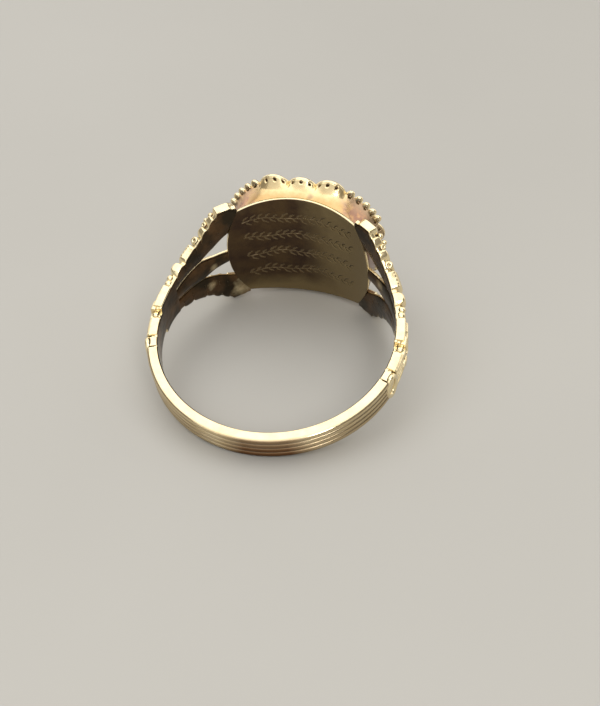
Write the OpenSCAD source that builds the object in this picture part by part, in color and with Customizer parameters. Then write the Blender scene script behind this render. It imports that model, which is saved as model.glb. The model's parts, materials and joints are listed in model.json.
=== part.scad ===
// Mourning ring with a closed head: woven hair under crystal in a scalloped gold border.
// Ring frame: the finger hole runs along Z, and the head is at +Y.
// Angles round the hoop are in degrees, from the back of the shank towards the head.
// The ring is drawn lying on its side, as it rests on a table.

/* [Hoop] */
// Radius of the finger hole
hole_r = 9; // [8:0.1:10]
// Thickness of the shank at the crown of a reed
shank_wall = 0.88; // [0.75:0.01:1.1]
// Width of the shank, and of the hoop up to the shoulders
shank_w = 2.2; // [1.8:0.1:2.6]
// Number of reeds side by side round the shank
reed_count = 4; // [3:1:6]
// Depth of the grooves between the reeds
groove_depth = 0.2; // [0.1:0.01:0.25]
// Angle at which the reeds end
reed_end = 69; // [64:1:72]

/* [Shoulders] */
// Thickness of the shoulders between their raised leaves
web_wall = 0.5; // [0.4:0.01:0.6]
// Angle at which the shoulder starts to spread
fan_start = 90; // [86:1:94]
// Angle at which the spread is complete
fan_end = 139.5; // [136:0.5:141]
// Half the height of the shoulder where the spread starts
fan_root = 1.6; // [1.3:0.1:1.8]
// Half the height of the shoulder at the leaf tips
tip_half = 5.35; // [5:0.05:5.6]
// How late the spread comes: higher is later
fan_power = 2.3; // [1.8:0.1:3]
// Angle at which the leaf tips end
tip_end = 150; // [147:0.5:152]
// Width of the upright oval boss beyond the reeds
boss_w = 1.86; // [1.4:0.02:2.2]
// Height of the boss
boss_h = 2.86; // [2.6:0.02:3.2]
// Distance from the finger hole to the foot of the boss
boss_foot = 0.35; // [0.2:0.05:0.45]

/* [Head] */
// Half the height of the back plate at its middle
plate_half = 5.6; // [5.3:0.05:5.8]
// Radius of the bow of the plate's upper and lower edges
bow_r = 19; // [15:0.5:24]
// Half the width of the gallery wall at the back plate
wall_half_w = 5.55; // [5.3:0.05:5.7]
// Outward lean of the gallery wall, per mm of its depth
flare = 0.15; // [0.05:0.01:0.2]
// Radius of the corners of the gallery, from the middle of the head
corner_r = 6.5; // [6.3:0.05:6.7]
// Distance from the ring's axis to the back of the border
border_back = 10.2; // [10:0.05:10.8]
// Thickness of the border
border_t = 0.5; // [0.4:0.05:0.8]
// Half the height of the border, over its scallops
rim_half_h = 6.35; // [6.25:0.01:6.5]
// Half the width of the border, over its scallops
rim_half_w = 6.4; // [6.2:0.05:6.6]
// Distance between two scallops
lobe_pitch = 2.15; // [2:0.05:2.3]
// Radius of a scallop
lobe_r = 1.27; // [1.15:0.01:1.4]
// Radius of the small holes in the scallops
pierce_r = 0.15; // [0.1:0.01:0.18]
// Radius of the beads round the corners of the border
corner_bead_r = 0.38; // [0.3:0.01:0.45]

/* [Crystal] */
// Half the width of the crystal
crystal_half_w = 4.5; // [4:0.05:4.7]
// Half the height of the crystal
crystal_half_h = 4.7; // [4.2:0.05:4.9]
// Thickness of the crystal's straight girdle
girdle_t = 0.7; // [0.5:0.05:0.9]
// Rise of the crystal's bevel
bevel_t = 0.6; // [0.3:0.05:1]
// Size of the table, as a share of the crystal
table_share = 0.72; // [0.5:0.01:0.85]
// Height of the collet above the border
collet_rise = 0.3; // [0.2:0.05:0.5]
// Thickness of the collet
collet_wall = 0.45; // [0.3:0.05:0.6]
// Thickness of the hair panel
hair_t = 0.5; // [0.3:0.05:0.6]

/* [Hidden] */
gold = [0.93, 0.78, 0.48];
hair_brown = [0.30, 0.19, 0.10];
clear = [0.86, 0.92, 0.94, 0.4];
round_fn = 96;
bead_fn = 32;

// Clearance round the pieces held in the head, and overlap of pieces that are joined
seat_gap = 0.04;
sink = 0.3;

// Hoop
reed_pitch = shank_w / reed_count;
reed_r = reed_pitch / 2;
reed_centre = hole_r + shank_wall - reed_r;
crown_r = hole_r + shank_wall;
web_r = hole_r + web_wall;
cut_r = crown_r + 1;
tall = 4 * tip_half;

// Shoulders: raised leaves [start angle, end angle, height above the web, height of their ribs]
leaves = [
    [77, 87.5, 0.38, 0.38],
    [91.5, 103.5, 0.26, 0.48],
    [108.5, 114, 0.26, 0.55],
    [116, 124.5, 0.24, 0.55],
    [126, 131, 0.16, 0.52],
    [132.5, 137.5, 0.12, 0.5]
];
// Ribs of the three arms, as shares of the half height of the shoulder [inner side, outer side]
ribs = [
    [-0.13, 0.13],
    [0.5, 0.8],
    [-0.8, -0.5]
];
// Notches in both edges, each with a bead [start angle, end angle, depth from the edge, bead radius]
notches = [
    [70.3, 77.3, 0.5, 0.34],
    [87.2, 91.8, 0.45, 0.3],
    [103.2, 108.8, 0.6, 0.36]
];
notch_floor = 0.22;
bead_at = 0.42;
// Leaf tips [angle, half height]
leaf_tip = [
    [142, tip_half + 0.04],
    [tip_end - 2.5, tip_half + 0.04],
    [tip_end, tip_half - 0.25],
    [tip_end + 1.5, plate_half - 0.85],
    [tip_end + 4, plate_half - 1]
];
// Gap between the middle arm and an outer arm [angle, height above the middle]
gap_edge = [
    [126, 1.08],
    [133, 0.78],
    [140.5, 0.62],
    [140.5, 2.35],
    [134, 1.68]
];
// Groove that parts the arms on the outside, from the collar to the gap [angle, height]
arm_groove = [
    [104, 0.48],
    [127, 0.98],
    [127, 1.16],
    [104, 0.6]
];
groove_floor = 0.42;
fan_steps = 11;
boss_angle = 73.5;
boss_rise = 0.14;
boss_dish = 0.12;
boss_rim = 0.3;
eye_angle = 135;
eye_r = 0.17;
eye_in = 0.55;
tip_start = 139;
tip_rise = 0.3;
tip_leaf = 2.4;
vein_w = 0.14;
vein_in = 0.42;

// Head
block_start = 6.4;
border_front = border_back + border_t;
pierce_in = 0.3;
pierce_turn = 36;
corner_beads = 5;
corner_first = 35.5;
corner_last = 65.5;
corner_bead_at = corner_r - 0.15;

// Crystal and hair panel
cushion_power = 3.6;
cushion_points = 32;
seat_ledge = 0.35;
girdle_under = 0.05;
crystal_back = border_front + collet_rise - girdle_under - girdle_t;
hair_back = crystal_back - hair_t - seat_gap;
chamber_back = hair_back - seat_gap;
table_front = crystal_back + girdle_t + bevel_t;

// Rest: the scallops' back edge and the lowest reed both touch the table
run_y = border_back + reed_centre;
run_z = rim_half_h - (shank_w / 2 - reed_r);
tilt = atan2(run_z, run_y) - asin(reed_r / norm([run_y, run_z]));
lift = rim_half_h * cos(tilt) - border_back * sin(tilt);
back_y = -reed_centre * cos(tilt) - (shank_w / 2 - reed_r) * sin(tilt) - reed_r;
front_y = table_front * cos(tilt) + table_share * crystal_half_h * sin(tilt);
middle_y = (front_y + back_y) / 2;

function hoop_y(angle) = -hole_r * cos(angle);
function side_points(table, up = 1) = [for (row = table) [hoop_y(row[0]), up * row[1]]];
function spread(angle) =
    fan_root + (tip_half - fan_root) * pow((angle - fan_start) / (fan_end - fan_start), fan_power);
function edge_half(angle) = angle < fan_start ? shank_w / 2 : spread(min(angle, fan_end));
function spread_line(share) = [
    for (k = [0 : fan_steps])
        let (a = fan_start + (fan_end - fan_start) * k / fan_steps) [hoop_y(a), share * edge_half(a)]
];
function reverse(list) = [for (k = [len(list) - 1 : -1 : 0]) list[k]];
function signed_power(v, p) = sign(v) * pow(abs(v), p);
function cushion(half_w, half_h) = [
    for (k = [0 : cushion_points - 1])
        let (a = (k + 0.5) * 360 / cushion_points)
        [half_w * signed_power(cos(a), 2 / cushion_power), half_h * signed_power(sin(a), 2 / cushion_power)]
];

// Lays the ring on its side, with the middle of its outline over the origin
module rest() {
    translate([0, -middle_y, lift]) rotate([tilt, 0, 0]) children();
}

module both_sides() {
    children();
    mirror([1, 0, 0]) children();
}

module up_and_down() {
    children();
    mirror([0, 0, 1]) children();
}

// Turns a shape drawn at +X to an angle from the back of the hoop
module at_angle(angle) {
    rotate([0, 0, angle - 90]) children();
}

// Part of a flat hoop between two angles
module sector(start, end, r_in, r_out, height) {
    at_angle(start) rotate_extrude(angle = end - start, $fn = round_fn)
        translate([r_in, -height / 2]) square([r_out - r_in, height]);
}

// Bar along +X whose section is drawn as the ring's side view, in Y and Z
module side_bar(points) {
    rotate([90, 0, 90]) linear_extrude(height = 2 * hole_r) polygon(points);
}

// Bar along Y, from one distance to another
module front_bar(from, to) {
    translate([0, to, 0]) rotate([90, 0, 0]) linear_extrude(height = to - from) children();
}

// Round bar along Y, which may widen on its way
module front_rod(from, to, r1, r2, x = 0, z = 0) {
    translate([x, from, z]) rotate([-90, 0, 0]) cylinder(h = to - from, r1 = r1, r2 = r2, $fn = round_fn);
}

// Narrow band with reeds round the outside
module shank() {
    at_angle(-reed_end) rotate_extrude(angle = 2 * reed_end, $fn = round_fn) {
        translate([hole_r - sink, reed_r - shank_w / 2])
            square([shank_wall - groove_depth + sink, shank_w - 2 * reed_r]);
        translate([hole_r - sink, -shank_w / 2]) square([reed_centre - hole_r + sink, shank_w]);
        for (k = [0 : reed_count - 1])
            translate([reed_centre, (k + 0.5) * reed_pitch - shank_w / 2]) circle(r = reed_r, $fn = bead_fn);
    }
}

// Side view of one shoulder, from the end of the reeds to the corners of the head
module shoulder_outline() {
    upper = concat(
        [[hoop_y(reed_end - 1), shank_w / 2], [hoop_y(fan_start), shank_w / 2]],
        spread_line(1),
        side_points(leaf_tip)
    );
    lower = [for (p = reverse(upper)) [p[0], -p[1]]];
    side_bar(concat(upper, lower));
}

// Raised ribs along the arms, cut short where the leaves end
module arm_ribs() {
    intersection() {
        union() {
            for (rib = ribs)
                side_bar(concat(spread_line(rib[0]), reverse(spread_line(rib[1]))));
        }
        union() {
            for (leaf = leaves)
                sector(leaf[0], leaf[1], web_r - sink, web_r + leaf[3], tall);
        }
    }
}

// Upright oval boss with a dished face, where the reeds end
module boss() {
    offset_x = (pow(boss_h / 2, 2) - pow(boss_w / 2, 2)) / boss_w;
    lens_r = offset_x + boss_w / 2;
    at_angle(boss_angle) difference() {
        lens(hole_r + boss_foot, crown_r + boss_rise, lens_r, offset_x);
        lens(crown_r + boss_rise - boss_dish, cut_r, lens_r - boss_rim, offset_x);
    }
}

// Pointed oval along +X, made by two round bars that cross
module lens(from, to, r, offset_x) {
    intersection_for (y = [-offset_x, offset_x])
        translate([from, y, 0]) rotate([0, 90, 0]) cylinder(h = to - from, r = r, $fn = round_fn);
}

// One shoulder: web, raised leaves and collar, pierced gaps and grooves between the arms
module shoulder() {
    difference() {
        union() {
            intersection() {
                shoulder_outline();
                union() {
                    cylinder(h = tall, r = web_r, center = true, $fn = round_fn);
                    for (leaf = leaves)
                        sector(leaf[0], leaf[1], web_r - sink, web_r + leaf[2], tall);
                    up_and_down() translate([0, 0, tip_half])
                        sector(tip_start, tip_end + 2, web_r - sink, web_r + tip_rise, 2 * tip_leaf);
                }
            }
            arm_ribs();
        }
        up_and_down() {
            for (notch = notches)
                translate([0, 0, edge_half(notch[1]) - notch[2] + tall / 2])
                    sector(notch[0], notch[1], hole_r + notch_floor, cut_r, tall);
            side_bar(side_points(gap_edge));
            difference() {
                side_bar(side_points(arm_groove));
                cylinder(h = tall, r = hole_r + groove_floor, center = true, $fn = round_fn);
            }
            at_angle(eye_angle) translate([hole_r, 0, edge_half(eye_angle) - eye_in])
                rotate([0, 90, 0]) cylinder(h = 2, r = eye_r, $fn = bead_fn);
            translate([0, 0, tip_half - vein_in])
                sector(tip_start - 1, tip_end + 2, web_r, cut_r, vein_w);
        }
    }
    for (notch = notches)
        up_and_down() at_angle((notch[0] + notch[1]) / 2)
            translate([hole_r + bead_at, 0, edge_half(notch[0]) - notch[2] / 2]) sphere(r = notch[3], $fn = bead_fn);
    boss();
}

// Flared wall between the finger hole and the border
module gallery() {
    near = bow_r - flare * (hole_r - block_start);
    far = bow_r + flare * (border_front - hole_r);
    far_w = wall_half_w + flare * (border_front - block_start) / 2;
    intersection() {
        front_rod(block_start, border_front, near, far, 0, plate_half - bow_r);
        front_rod(block_start, border_front, near, far, 0, bow_r - plate_half);
        front_rod(block_start, border_front, corner_r, corner_r);
        translate([0, 0, -tall / 2]) linear_extrude(height = tall) polygon([
            [-wall_half_w, block_start], [wall_half_w, block_start],
            [far_w, border_front], [-far_w, border_front]
        ]);
    }
}

// One scallop of the border, outermost towards +Z
module scallop() {
    difference() {
        front_rod(border_back, border_front, lobe_r, lobe_r, 0, rim_half_h - lobe_r);
        for (turn = [-pierce_turn, 0, pierce_turn])
            translate([0, 0, rim_half_h - lobe_r]) rotate([0, turn, 0])
                front_rod(border_back - 1, border_front + 1, pierce_r, pierce_r, 0, lobe_r - pierce_in);
    }
}

// Scalloped edge with small beads round the corners
module border() {
    up_and_down() {
        for (k = [-1 : 1])
            translate([k * lobe_pitch, 0, 0]) scallop();
        both_sides() {
            translate([rim_half_w - rim_half_h, 0, lobe_pitch / 2]) rotate([0, 90, 0]) scallop();
            for (k = [0 : corner_beads - 1])
                rotate([0, corner_first + (corner_last - corner_first) * k / (corner_beads - 1), 0])
                    translate([0, border_back + border_t / 2, corner_bead_at]) sphere(r = corner_bead_r, $fn = bead_fn);
        }
    }
}

// Low ring that holds the crystal
module collet() {
    front_bar(border_front - sink, border_front + collet_rise)
        polygon(cushion(crystal_half_w + collet_wall, crystal_half_h + collet_wall));
}

// Seat for the crystal, and the chamber for the hair panel behind it
module chamber() {
    front_bar(crystal_back - seat_gap, table_front)
        polygon(cushion(crystal_half_w + seat_gap, crystal_half_h + seat_gap));
    front_bar(chamber_back, table_front)
        polygon(cushion(crystal_half_w - seat_ledge, crystal_half_h - seat_ledge));
}

// The soldered gold: shank, shoulders, back plate, gallery, border and collet
module gold_ring() {
    color(gold) rest() difference() {
        union() {
            shank();
            both_sides() shoulder();
            gallery();
            border();
            collet();
        }
        cylinder(h = tall, r = hole_r, center = true, $fn = round_fn);
        chamber();
    }
}

module hair_panel() {
    half_w = crystal_half_w - seat_ledge - seat_gap;
    half_h = crystal_half_h - seat_ledge - seat_gap;
    color(hair_brown) rest() front_bar(hair_back, hair_back + hair_t) polygon(cushion(half_w, half_h));
}

// Flat crystal with a straight girdle and a bevel up to the table
module crystal() {
    n = cushion_points;
    outer = cushion(crystal_half_w, crystal_half_h);
    inner = cushion(table_share * crystal_half_w, table_share * crystal_half_h);
    rings = concat(
        [for (p = outer) [p[0], crystal_back, p[1]]],
        [for (p = outer) [p[0], crystal_back + girdle_t, p[1]]],
        [for (p = inner) [p[0], table_front, p[1]]]
    );
    color(clear) rest() polyhedron(
        points = rings,
        faces = concat(
            [[for (k = [n - 1 : -1 : 0]) k]],
            [for (ring = [0, 1], k = [0 : n - 1])
                [ring * n + k, ring * n + (k + 1) % n, (ring + 1) * n + (k + 1) % n, (ring + 1) * n + k]],
            [[for (k = [0 : n - 1]) 2 * n + k]]
        )
    );
}

gold_ring();
hair_panel();
crystal();
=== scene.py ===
import json
from math import acos, atan2, copysign, cos, degrees, exp, hypot, pi, radians, sin, sqrt

import bmesh
import bpy
import numpy as np
from mathutils import Matrix, Vector


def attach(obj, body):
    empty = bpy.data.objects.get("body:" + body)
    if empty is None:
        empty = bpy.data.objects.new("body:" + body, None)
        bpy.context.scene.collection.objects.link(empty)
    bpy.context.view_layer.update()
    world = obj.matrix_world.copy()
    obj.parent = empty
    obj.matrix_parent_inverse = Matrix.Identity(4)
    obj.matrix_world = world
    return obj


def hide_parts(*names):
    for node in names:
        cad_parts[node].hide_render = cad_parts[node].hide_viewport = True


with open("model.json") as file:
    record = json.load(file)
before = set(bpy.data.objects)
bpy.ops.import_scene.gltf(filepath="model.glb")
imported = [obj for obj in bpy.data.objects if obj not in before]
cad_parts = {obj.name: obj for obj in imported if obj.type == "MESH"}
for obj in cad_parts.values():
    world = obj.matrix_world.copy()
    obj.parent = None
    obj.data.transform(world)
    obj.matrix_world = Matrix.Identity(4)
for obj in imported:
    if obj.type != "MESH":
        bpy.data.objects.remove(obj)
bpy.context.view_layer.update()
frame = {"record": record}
scene = bpy.context.scene

# The pieces are drawn in millimetres in the ring's own frame: the finger hole runs along Z, the head is
# at +Y, and angles count in degrees from the back of the shank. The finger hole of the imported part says
# how the ring lies.
fingerHole = frame["record"]["mounts"][0]
holeAxis = Vector(fingerHole["axis"])
holePlace = Vector(fingerHole["pos_m"])
holeR = fingerHole["dims"]["r_mm"]
tilt = atan2(-holeAxis.y, holeAxis.z)
layDown = Matrix.Translation(holePlace) @ Matrix.Rotation(tilt, 4, "X") @ Matrix.Scale(0.001, 4)

ring = {
    "shankWidth": 2.2,
    "plateHalf": 5.6,      # half height of the back plate at its middle
    "bowR": 19.0,          # bow of the plate's upper and lower edges
    "wallHalfWidth": 5.55,
    "flare": 0.15,         # lean of the gallery wall, per mm of its depth
    "cornerR": 6.3,
    "cornerBlend": 30,     # how sharply the wall's sides, ends and corners meet
    "blockStart": 6.4,
    "borderBack": 10.2,
    "borderThick": 0.5,
    "crystalHalfW": 4.5,
    "crystalHalfH": 4.7,
    "cushionPower": 3.6,   # 2 would make an ellipse, and a great number a rectangle
}
borderFront = ring["borderBack"] + ring["borderThick"]


def onHoop(angle, r, z):
    a = radians(angle)
    return Vector((r * sin(a), -r * cos(a), z))


def signedPower(v, p):
    return copysign(abs(v) ** p, v)


def smoothStep(v, low, high):
    t = min(max((v - low) / (high - low), 0.0), 1.0)
    return t * t * (3 - 2 * t)


def cushionPoint(angle, halfW, halfH):
    p = 2 / ring["cushionPower"]
    return halfW * signedPower(cos(angle), p), halfH * signedPower(sin(angle), p)


# Size of a point's own cushion outline, as a share of the given one
def cushionShare(x, z, halfW, halfH):
    p = ring["cushionPower"]
    return (abs(x / halfW) ** p + abs(z / halfH) ** p) ** (1 / p)


# A grid rolled into a closed tube: place(turn, way) puts each vertex, with both from 0 to 1
def rollTube(bm, around, along, place):
    made = bmesh.ops.create_grid(bm, x_segments=around, y_segments=along, size=0.5)["verts"]
    for v in made:
        v.co = place(v.co.x + 0.5, v.co.y + 0.5)
    bmesh.ops.remove_doubles(bm, verts=made, dist=1e-4)
    left = [v for v in made if v.is_valid]
    rims = {e for v in left for e in v.link_edges if e.is_boundary}
    bmesh.ops.holes_fill(bm, edges=list(rims), sides=0)


# Adds a piece from a mesh in mm. A sheet's faces point outwards already, and it gets its thickness here.
def addPiece(bm, name, material, node, sharpFrom=40, thick=0):
    if not thick:
        bmesh.ops.recalc_face_normals(bm, faces=bm.faces)
    bmesh.ops.transform(bm, matrix=layDown, verts=bm.verts)
    mesh = bpy.data.meshes.new(name)
    bm.to_mesh(mesh)
    bm.free()
    mesh.shade_smooth()
    mesh.set_sharp_from_angle(angle=radians(sharpFrom))
    mesh.materials.append(material)
    piece = bpy.data.objects.new(name, mesh)
    scene.collection.objects.link(piece)
    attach(piece, "root")
    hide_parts(node)
    if thick:
        sheet = piece.modifiers.new("sheet", "SOLIDIFY")
        sheet.thickness = thick / 1000
        sheet.offset = -1
    print(name, "made,", len(mesh.polygons), "faces")
    return piece


# Materials

def hexColour(code):
    parts = [int(code[i:i + 2], 16) / 255 for i in (1, 3, 5)]
    return tuple(c / 12.92 if c <= 0.04045 else ((c + 0.055) / 1.055) ** 2.4 for c in parts) + (1.0,)


# Adds one node. Settings go to its properties or inputs, and text on an input is a colour. Links go to its
# inputs, and one from a node comes from that node's main output. Every Mix here is one of colours.
def addNode(tree, kind, settings=None, links=None):
    node = tree.nodes.new("ShaderNode" + kind)
    if kind == "Mix":
        node.data_type = "RGBA"
    for key, value in (settings or {}).items():
        if isinstance(key, str) and hasattr(node, key):
            setattr(node, key, value)
        else:
            node.inputs[key].default_value = hexColour(value) if isinstance(value, str) else value
    for key, source in (links or {}).items():
        if isinstance(source, bpy.types.Node):
            source = next(output for output in source.outputs if output.enabled)
        tree.links.new(source, node.inputs[key])
    return node


def newMaterial(name):
    material = bpy.data.materials.new(name)
    material.use_nodes = True
    material.node_tree.nodes.clear()
    return material, material.node_tree


def rampStops(node, stops):
    ramp = node.color_ramp
    while len(ramp.elements) < len(stops):
        ramp.elements.new(0.5)
    for element, (place, tone) in zip(ramp.elements, stops):
        element.position = place
        element.color = hexColour(tone) if isinstance(tone, str) else (tone, tone, tone, 1)


# the skin's tones are partly patina and partly painted shade
skinAndShadePlaces = (0.42, 0.66)      # where the skin's dark and light colours lie in its noise


# Old yellow gold of about 15 carat. It is soft, so the polish is broken by fine scratches. Its hollows are
# darkened, partly with dirt that a cloth can't reach and partly with painted shade. The faces towards the
# finger have a dark brown skin, partly unpolished patina and partly painted shade for the dark reflections
# inside, so the ring shows bright pale edges round dark insides.
def goldMaterial(name, look):
    material, tree = newMaterial(name)
    place = addNode(tree, "TexCoord")
    inRing = addNode(tree, "Mapping", {"vector_type": "TEXTURE", "Location": holePlace,
                                       "Rotation": (tilt, 0, 0), "Scale": (0.001, 0.001, 0.001)},
                     {"Vector": place.outputs["Object"]})
    cloud = addNode(tree, "TexNoise", {"Scale": look["cloudPerMm"], "Detail": 5.0, "Roughness": 0.6},
                    {"Vector": inRing})
    spread = addNode(tree, "ValToRGB", links={"Fac": cloud})
    rampStops(spread, look["cloudRamp"])
    colour = addNode(tree, "Mix", {"A": look["gold"], "B": look["worn"]}, {"Factor": spread})
    # each material's tints: some are stains, some painted light and shade, as their functions say
    if "tintsAndPaintedLight" in look:
        colour = look["tintsAndPaintedLight"](tree, inRing, colour)
    # towards the finger: the normal against the direction from the hole's axis; the skin there is partly
    # patina and partly painted shade
    outward = addNode(tree, "VectorMath", {"operation": "MULTIPLY", 1: (1, 1, 0)}, {0: inRing})
    unit = addNode(tree, "VectorMath", {"operation": "NORMALIZE"}, {0: outward})
    normal = addNode(tree, "VectorRotate", {"rotation_type": "X_AXIS", "Angle": -tilt},
                     {"Vector": place.outputs["Normal"]})
    facing = addNode(tree, "VectorMath", {"operation": "DOT_PRODUCT"}, {0: unit, 1: normal})
    inside = addNode(tree, "MapRange", {"From Min": -0.4, "From Max": -0.8, "To Max": look["skinAndShadeShare"]},
                     {"Value": facing})
    patch = addNode(tree, "TexNoise", {"Scale": 0.55, "Detail": 4.0, "Roughness": 0.55}, {"Vector": inRing})
    filmAndShade = addNode(tree, "ValToRGB", links={"Fac": patch})
    rampStops(filmAndShade, list(zip(skinAndShadePlaces, look["skinAndShade"])))
    # painted shade: the skin is darker near the band's ends, where its inside lies in shade
    if "skinAndShadeAtEnds" in look:
        axes = addNode(tree, "SeparateXYZ", links={"Vector": inRing})
        atEnds = addNode(tree, "MapRange", {"From Min": -7.6, "From Max": -3.4}, {"Value": axes.outputs["Y"]})
        darker = addNode(tree, "ValToRGB", links={"Fac": patch})
        rampStops(darker, list(zip(skinAndShadePlaces, look["skinAndShadeAtEnds"])))
        filmAndShade = addNode(tree, "Mix", {}, {"Factor": atEnds, "A": filmAndShade, "B": darker})
    share = inside
    # painted highlights: at each listed mark the dark skin thins, so the bright gold shows as a glint
    for x, y, z, reach in look.get("marks", []):
        away = addNode(tree, "VectorMath", {"operation": "DISTANCE", 1: (x, y, z)}, {0: inRing})
        uneven = addNode(tree, "Math", {"operation": "MULTIPLY_ADD", 1: 2 * reach}, {0: cloud, 2: away})
        left = addNode(tree, "MapRange", {"From Min": reach, "From Max": reach * 2.2, "To Min": 0.2},
                       {"Value": uneven})
        share = addNode(tree, "Math", {"operation": "MULTIPLY"}, {0: share, 1: left})
    skinAndShade = addNode(tree, "Mix", {}, {"Factor": share, "A": colour, "B": filmAndShade})
    # painted shade and dirt: the hollows that the ambient-occlusion node finds get a darker, rougher colour
    hollow = addNode(tree, "AmbientOcclusion", {"samples": 8, "Distance": look["shadeAndDirtReach"] / 1000})
    shadeAndDirt = addNode(tree, "ValToRGB", links={"Fac": hollow.outputs["AO"]})
    rampStops(shadeAndDirt, look["shadeAndDirtRamp"])
    shadeAndDirty = addNode(tree, "Mix", {"B": look["shadeAndDirt"]}, {"Factor": shadeAndDirt, "A": skinAndShade})
    rough = addNode(tree, "MapRange", {"To Min": look["rough"][0], "To Max": look["rough"][1]},
                    {"Value": cloud})
    roughInHollows = addNode(tree, "Math", {"operation": "MULTIPLY_ADD", 1: look["shadeAndDirtRough"]},
                        {0: shadeAndDirt, 2: rough})
    grain = addNode(tree, "Mapping", {"Scale": look["scratchPerMm"]}, {"Vector": inRing})
    scratch = addNode(tree, "TexNoise", {"Scale": 1.0, "Detail": 3.0}, {"Vector": grain})
    dent = addNode(tree, "TexNoise", {"Scale": look["dentPerMm"], "Detail": 2.0}, {"Vector": inRing})
    dented = addNode(tree, "Bump", {"Strength": 1.0, "Distance": look["dentDepth"] / 1000}, {"Height": dent})
    bump = addNode(tree, "Bump", {"Strength": 1.0, "Distance": look["scratchDepth"] / 1000},
                   {"Height": scratch, "Normal": dented})
    shader = addNode(tree, "BsdfPrincipled", {"Metallic": 1.0},
                     {"Base Color": shadeAndDirty, "Roughness": roughInHollows, "Normal": bump})
    addNode(tree, "OutputMaterial", links={"Surface": shader})
    return material


# Painted shade: the outer side of the band is painted browner than its edges, most of all at the back and on
# its lower reeds, for the dark reflections there
def bandPaintedShade(tree, inRing, colour):
    outer = addNode(tree, "VectorMath", {"operation": "MULTIPLY", 1: (1, 1, 0)}, {0: inRing})
    far = addNode(tree, "VectorMath", {"operation": "LENGTH"}, {0: outer})
    axes = addNode(tree, "SeparateXYZ", links={"Vector": inRing})
    aside = addNode(tree, "Math", {"operation": "SUBTRACT", 1: 1.5}, {0: axes.outputs["X"]})
    fromBack = addNode(tree, "Math", {"operation": "ABSOLUTE"}, {0: aside})
    atBack = addNode(tree, "MapRange", {"From Min": 1.6, "From Max": 3.6, "To Min": 0.85, "To Max": 0.3},
                     {"Value": fromBack})
    low = addNode(tree, "MapRange", {"From Min": 0.7, "From Max": -0.5, "To Max": 0.2},
                  {"Value": axes.outputs["Z"]})
    most = addNode(tree, "Math", {"operation": "ADD"}, {0: atBack, 1: low})
    reach = addNode(tree, "MapRange", {"From Min": 9.6, "From Max": 9.8}, {"Value": far, "To Max": most})
    return addNode(tree, "Mix", {"B": "#6E4E34"}, {"Factor": reach, "A": colour})


# polished band gold: its skin near the band's ends and its outer side carry painted shade
polishedBandGold = goldMaterial("polishedBandGold", {
    "gold": "#FAE9C0", "worn": "#F0DBAC", "cloudPerMm": 0.9, "cloudRamp": [(0.35, 0.0), (0.7, 1.0)],
    "skinAndShade": ("#8C6F48", "#C0A474"), "skinAndShadeAtEnds": ("#2A1C12", "#664A2E"), "skinAndShadeShare": 0.9,
    "shadeAndDirt": "#3E2A1A", "shadeAndDirtReach": 0.3, "shadeAndDirtRamp": [(0.4, 0.9), (0.92, 0.0)], "shadeAndDirtRough": 0.25,
    "rough": (0.1, 0.24), "scratchPerMm": (3.0, 3.0, 22.0), "scratchDepth": 0.003,
    "dentPerMm": 0.8, "dentDepth": 0.02, "tintsAndPaintedLight": bandPaintedShade,
})
# cast gold: the insides of the arms take a dark skin, partly patina and partly painted shade, and the listed
# marks are painted glints
castShoulderGold = goldMaterial("castShoulderGold", {
    "gold": "#FAEABF", "worn": "#ECD4A4", "cloudPerMm": 1.4, "cloudRamp": [(0.4, 0.0), (0.75, 1.0)],
    "skinAndShade": ("#1E130C", "#64462B"), "skinAndShadeShare": 0.96,
    "shadeAndDirt": "#5E4840", "shadeAndDirtReach": 0.4, "shadeAndDirtRamp": [(0.2, 0.85), (0.62, 0.0)], "shadeAndDirtRough": 0.3,
    "rough": (0.12, 0.3), "scratchPerMm": (9.0, 9.0, 9.0), "scratchDepth": 0.004,
    "dentPerMm": 1.6, "dentDepth": 0.03,
    # painted highlights: places inside the arms where the dark skin is thinned so the bright gold shows as a
    # glint: x, y, z, radius
    "marks": [(-6.95, 5.7, -2.2, 0.45), (-6.7, 6.0, -0.3, 0.4), (6.8, 5.9, 0.4, 0.45),
             (-5.2, 7.35, -4.3, 1.0)],
})


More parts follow.
